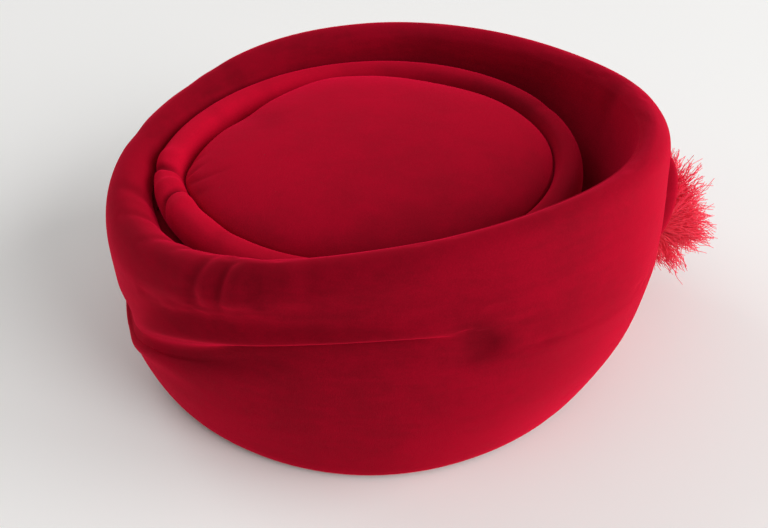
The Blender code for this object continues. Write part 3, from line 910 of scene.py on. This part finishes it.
def thread_paths(sizes, root, out, climb, side):
    """Paths of the silk threads: clumps that fan out from the root, swell, and fray at the tip.

    A thread goes straight along its clump with a sideways offset that grows as a sine and then
    closes a little, a wave of a few turns, a bend by its own weight that grows as the square of the
    way along, and, for some, a curl at the tip.
    """
    random = np.random.default_rng(7)
    clumps, each = sizes.clumps, sizes.clump_threads
    step = np.arange(clumps) / (clumps - 1)
    low, high = TUFT_LOCKS[0].climb, TUFT_LOCKS[-1].climb
    jitter = random.uniform(-CLIMB_JITTER, CLIMB_JITTER, clumps)
    climb_angle = np.clip(high - (high - low) * step + jitter, low, high)
    climbs, lengths = zip(*TUFT_LOCKS)
    share = np.interp(climb_angle, climbs, lengths)
    climb_angle = np.radians(climb_angle)
    spread_angle = np.radians(random.uniform(*FAN_SPREAD, clumps))
    length = sizes.tuft_reach * share * random.uniform(*CLUMP_LENGTHS, clumps)
    fan = out * np.cos(climb_angle)[:, None] + climb * np.sin(climb_angle)[:, None]
    clump_way = fan * np.cos(spread_angle)[:, None] + side * np.sin(spread_angle)[:, None]
    way = np.repeat(clump_way, each, axis=0)
    length = np.repeat(length, each) * random.uniform(*THREAD_LENGTHS, clumps * each)
    count = len(way)
    stray = random.normal(0.0, 1.0, (count, 3))
    stray -= way * (stray * way).sum(axis=1, keepdims=True)
    t = np.linspace(0.0, 1.0, THREAD_POINTS)[None, :, None]
    loose = random.uniform(*THREAD_STRAY, count)[:, None, None]
    swell = CLUMP_SWELL * np.sin(np.minimum(t / CLUMP_FULL, 1.0) * math.pi / 2)
    apart = CLUMP_ROOT + swell - CLUMP_CLOSE * np.clip(t - CLUMP_CLOSING, 0.0, 1.0)
    wave_way = unit(np.cross(way, stray))[:, None]
    turns = random.uniform(*WAVE_TURNS, count)[:, None, None]
    phase = random.uniform(0, 2 * math.pi, count)[:, None, None]
    wave = np.sin(t * turns * 2 * math.pi + phase) * WAVE_SIZE * (WAVE_ROOT + t)
    weight = np.array([0.0, 0.0, -1.0]) * THREAD_SAG * t**2
    curled = random.random(count) < CURLED_SHARE
    curl_size = np.where(curled, random.uniform(*CURL_SIZES, count), 0.0)
    late = np.clip((t - CURL_START) / (1.0 - CURL_START), 0.0, 1.0)
    turn = late * random.uniform(*CURL_ANGLES, count)[:, None, None] + phase
    swirl = wave_way * (np.sin(turn) - np.sin(phase)) + way[:, None] * (np.cos(turn) - np.cos(phase))
    paths = root + way[:, None] * length[:, None, None] * t
    paths = paths + stray[:, None] * apart * loose + wave_way * wave + weight
    return paths + swirl * curl_size[:, None, None] * late


class HAT_OT_tuft(Operator):
    """Make the fan of silk threads behind the tab."""

    bl_idname = "hat.make_tuft"
    bl_label = "Make Tuft"

    def execute(self, context):
        sizes = context.scene.hat_sizes
        here, out, climb, side = wall_frame(TAB_AZIMUTH, TUFT_HEIGHT, sizes)
        away = TAB_THICKNESS / 2 + TUFT_HEAD_RADIUS + SEAM_GAP
        root = here + side * away + out * (TUFT_HEAD_RADIUS + SEAM_GAP)
        root, out, climb, side = (np.array(list(v)) for v in (root, out, climb, side))
        paths = thread_paths(sizes, root, out, climb, side)
        taper = sizes.thread_radius * (1.0 - THREAD_TAPER * np.linspace(0.0, 1.0, THREAD_POINTS) ** 2)
        points, quads, caps = tubes(paths, taper)
        piece = mesh_piece("silk_threads", points, quads, caps)
        dress(piece, "silk_tuft", silk_finish("tuft_silk", context.scene.hat_colours, root))
        return {"FINISHED"}


# Materials

class Wire:
    """A shader socket that adds a Math node when it is used in an expression."""

    def __init__(self, finish, socket):
        self.finish = finish
        self.socket = socket

    def math(self, operation, first, second):
        return self.finish.node("ShaderNodeMath", {"operation": operation}, {0: first, 1: second})

    def __add__(self, other):
        return self.math("ADD", self, other)

    def __radd__(self, other):
        return self.math("ADD", other, self)

    def __sub__(self, other):
        return self.math("SUBTRACT", self, other)

    def __rsub__(self, other):
        return self.math("SUBTRACT", other, self)

    def __mul__(self, other):
        return self.math("MULTIPLY", self, other)

    def __rmul__(self, other):
        return self.math("MULTIPLY", other, self)

    def __pow__(self, other):
        return self.math("POWER", self, other)

    def __rpow__(self, other):
        return self.math("POWER", other, self)


class Finish:
    """A material with a Principled shader, and one method that makes its other nodes."""

    def __init__(self, name):
        self.material = bpy.data.materials.new(name)
        self.material.use_nodes = True
        self.tree = self.material.node_tree
        self.shader = self.tree.nodes["Principled BSDF"]

    def put(self, socket, value):
        if isinstance(value, Wire):
            self.tree.links.new(value.socket, socket)
        else:
            socket.default_value = value

    def node(self, kind, settings=None, inputs=None, output=0):
        made = self.tree.nodes.new(kind)
        for name, value in (settings or {}).items():
            setattr(made, name, value)
        for name, value in (inputs or {}).items():
            self.put(made.inputs[name], value)
        return Wire(self, made.outputs[output])

    def set(self, **sockets):
        for name, value in sockets.items():
            self.put(self.shader.inputs[name.replace("_", " ").title().replace("Ior", "IOR")], value)

    def noise(self, place, scale, detail, roughness):
        inputs = {"Vector": place, "Scale": scale, "Detail": detail, "Roughness": roughness}
        return self.node("ShaderNodeTexNoise", inputs=inputs)

    def stretched(self, place, scale, turn):
        inputs = {"Vector": place, "Scale": scale, "Rotation": turn}
        return self.node("ShaderNodeMapping", inputs=inputs)

    def between(self, value, low, high):
        """0 to 1 as the value goes from low to high."""
        inputs = {"Value": value, "From Min": low, "From Max": high}
        return self.node("ShaderNodeMapRange", {"interpolation_type": "SMOOTHSTEP"}, inputs)

    def blend(self, share, first, second):
        """A Mix node's colours, whose sockets are told apart by number: factor 0, A 6, B 7, result 2."""
        return self.node("ShaderNodeMix", {"data_type": "RGBA"}, {0: share, 6: first, 7: second}, 2)

    def bump(self, height, strength, distance):
        inputs = {"Height": height, "Strength": strength, "Distance": distance}
        return self.node("ShaderNodeBump", inputs=inputs)


def velvet_finish(name, colours, level, light_slope):
    """Silk velvet, with a painted sheen that lightens it where its surface is seen from the side.

    The level is how light the piece is painted, as painted light and shade, and it changes along
    the slope vector by its length for each metre. Patches, fine brushed marks, specks and a pile bump
    break it up, and painted shade darkens it where the hollow attribute says that a crease presses in.
    """
    finish = Finish(name)
    place = finish.node("ShaderNodeTexCoord", output="Object")
    patches = finish.noise(place, PATCH_SCALE, detail=3.0, roughness=0.55)
    brushing = finish.stretched(place, BRUSH_SCALE, BRUSH_TURN)
    brushed = finish.noise(brushing, 1.0, detail=3.0, roughness=0.6)
    pile = finish.noise(place, PILE_SCALE, detail=2.0, roughness=0.6)
    crushed = finish.noise(place, CRUSH_SCALE, detail=2.0, roughness=0.5)
    nap = finish.between(patches * 0.55 + brushed * 0.30 + crushed * 0.15, low=0.36, high=0.62)
    # Painted light and shade: the piece's level, lighter towards one side along the slope vector, over the
    # nap's random tone
    along = finish.node("ShaderNodeVectorMath", {"operation": "DOT_PRODUCT"}, {0: place, 1: light_slope}, 1)
    tone_and_painted_light = nap * NAP_SHADE + along + (level - NAP_SHADE / 2)
    colour = finish.blend(tone_and_painted_light, (*colours.velvet_deep, 1.0), (*colours.velvet_light, 1.0))
    speckle = finish.between(pile, low=0.30, high=0.70)
    colour = finish.blend(speckle * SPECKLE_SHADE, colour, (*SPECKLE, 1.0))
    # Painted sheen: the colour turns lighter towards the edges seen from the side
    grazing_sheen = finish.node("ShaderNodeLayerWeight", {}, {"Blend": 0.5}, "Facing")
    colour = finish.blend(grazing_sheen**PAINTED_SHEEN_POWER * PAINTED_SHEEN_SHARE, colour, (*colours.velvet_painted_sheen, 1.0))
    # Painted shade in creases: darker where the hollow attribute is high
    hollow = finish.node("ShaderNodeAttribute", {"attribute_name": "hollow"}, output="Fac")
    colour = finish.blend(hollow * CREASE_SHADE_SHARE, colour, (*colours.velvet_deep, 1.0))
    height = pile * 0.7 + crushed * 0.8 + brushed * 0.4
    finish.set(
        base_color=colour,
        roughness=0.82 + nap * 0.10,
        normal=finish.bump(height, strength=0.40, distance=0.0005),
        specular_ior_level=0.04,
        sheen_weight=0.60,
        sheen_roughness=0.32,
        sheen_tint=(1.0, 0.008, 0.075, 1.0),
    )
    return finish.material


def silk_finish(name, colours, root):
    """Lustrous silk thread: painted shade near the root, a faint painted glow, a small change from thread
    to thread.
    """
    finish = Finish(name)
    place = finish.node("ShaderNodeTexCoord", output="Object")
    away = finish.node("ShaderNodeVectorMath", {"operation": "DISTANCE"}, {0: place, 1: root}, 1)
    streaks = finish.noise(place, STREAK_SCALE, detail=2.0, roughness=0.5)
    # Painted shade near the root, fading out along the thread, with random streaks
    root_shade_and_streaks = finish.between(away, SILK_ROOT_SHADE_FULL, SILK_ROOT_SHADE_END) * 0.75 + streaks * 0.45 - 0.1
    colour = finish.blend(root_shade_and_streaks, (*colours.silk_root_shade, 1.0), (*colours.silk_light, 1.0))
    finish.set(
        base_color=colour,
        # A faint glow of painted light, in the silk's own colour
        emission_color=colour,
        emission_strength=0.07,
        roughness=0.42 + streaks * 0.15,
        specular_ior_level=0.4,
        sheen_weight=0.25,
        sheen_tint=(1.0, 0.22, 0.34, 1.0),
    )
    return finish.material


def floor_finish(name, colours):
    """A plain pale painted floor."""
    finish = Finish(name)
    place = finish.node("ShaderNodeTexCoord", output="Object")
    clouds = finish.noise(place, CLOUD_SCALE, detail=2.0, roughness=0.5)
    shade = [level * FLOOR_SHADE for level in colours.floor]
    finish.set(base_color=finish.blend(clouds, (*colours.floor, 1.0), (*shade, 1.0)), roughness=0.9)
    return finish.material


# Stage

FLOOR_SIZE = 40.0
Softbox = namedtuple("Softbox", "name place size power")
SOFTBOXES = (
    Softbox(name="right_softbox", place=(3.70, -0.30, 1.90), size=2.8, power=78.0),
    Softbox(name="front_softbox", place=(2.75, -2.55, 1.75), size=2.4, power=92.0),
    Softbox(name="back_softbox", place=(-2.20, 1.80, 2.80), size=2.4, power=25.5),
)
SKY = (1.0, 0.985, 0.965, 1.0)
SKY_STRENGTH = 0.435


class HAT_OT_stage(Operator):
    """Set the pale floor, the soft lights and the camera at the photograph's angle."""

    bl_idname = "hat.set_stage"
    bl_label = "Set Stage"

    def execute(self, context):
        half = FLOOR_SIZE / 2
        corners = np.array([(-half, -half, 0), (half, -half, 0), (half, half, 0), (-half, half, 0)])
        floor = mesh_piece("pale_floor", corners, np.array([[0, 1, 2, 3]]))
        floor.data.materials.append(floor_finish("pale_floor", context.scene.hat_colours))
        aim = Vector((AXIS.x, AXIS.y, CROWN_HEIGHT / 2))
        for row in SOFTBOXES:
            lamp = bpy.data.lights.new(row.name, "AREA")
            lamp.shape = "DISK"
            lamp.size = row.size
            lamp.energy = row.power
            light = bpy.data.objects.new(row.name, lamp)
            light.location = row.place
            light.rotation_euler = (aim - light.location).to_track_quat("-Z", "Y").to_euler()
            context.scene.collection.objects.link(light)
        world = bpy.data.worlds.new("studio")
        world.use_nodes = True
        sky = world.node_tree.nodes["Background"]
        sky.inputs["Color"].default_value = SKY
        sky.inputs["Strength"].default_value = SKY_STRENGTH
        context.scene.world = world
        context.scene.view_settings.view_transform = "Standard"
        self.set_camera(context)
        return {"FINISHED"}

    def set_camera(self, context):
        """A camera behind the hat, above the floor and turned a little about its own view line."""
        data = bpy.data.cameras.new("photo_view")
        data.lens = CAMERA_LENS
        data.clip_start = 0.01
        camera = bpy.data.objects.new("photo_view", data)
        aim = Vector((AXIS.x, AXIS.y, 0.0)) + CAMERA_AIM
        back = Vector((0.0, -math.cos(CAMERA_ELEVATION), math.sin(CAMERA_ELEVATION)))
        right = Vector((1.0, 0.0, 0.0))
        turn = Matrix((right, back.cross(right), back)).transposed().to_4x4()
        camera.matrix_world = (
            Matrix.Translation(aim + back * CAMERA_DISTANCE) @ turn @ Matrix.Rotation(CAMERA_ROLL, 4, "Z")
        )
        context.scene.collection.objects.link(camera)
        context.scene.camera = camera


class HAT_PT_panel(Panel):
    """The hat's sizes, colours and makers."""

    bl_label = "Velvet Hat"
    bl_idname = "HAT_PT_panel"
    bl_space_type = "VIEW_3D"
    bl_region_type = "UI"
    bl_category = "Hat"

    def draw(self, context):
        for group in (context.scene.hat_sizes, context.scene.hat_colours):
            box = self.layout.box()
            for name in group.bl_rna.properties.keys():
                if name not in ("name", "rna_type"):
                    box.prop(group, name)
        for maker in MAKERS:
            self.layout.operator(maker.bl_idname)


MAKERS = (HAT_OT_band, HAT_OT_ring, HAT_OT_tip, HAT_OT_cuff, HAT_OT_tab, HAT_OT_tuft, HAT_OT_stage)
CLASSES = (HatSizes, HatColours, *MAKERS, HAT_PT_panel)


def register():
    for entry in CLASSES:
        bpy.utils.register_class(entry)
    bpy.types.Scene.hat_sizes = PointerProperty(type=HatSizes)
    bpy.types.Scene.hat_colours = PointerProperty(type=HatColours)


def unregister():
    del bpy.types.Scene.hat_sizes
    del bpy.types.Scene.hat_colours
    for entry in reversed(CLASSES):
        bpy.utils.unregister_class(entry)


def main():
    register()
    bpy.ops.hat.make_band()
    bpy.ops.hat.make_ring()
    bpy.ops.hat.make_tip()
    bpy.ops.hat.make_cuff()
    bpy.ops.hat.make_tab()
    bpy.ops.hat.make_tuft()
    bpy.ops.hat.set_stage()


if __name__ == "__main__":
    main()
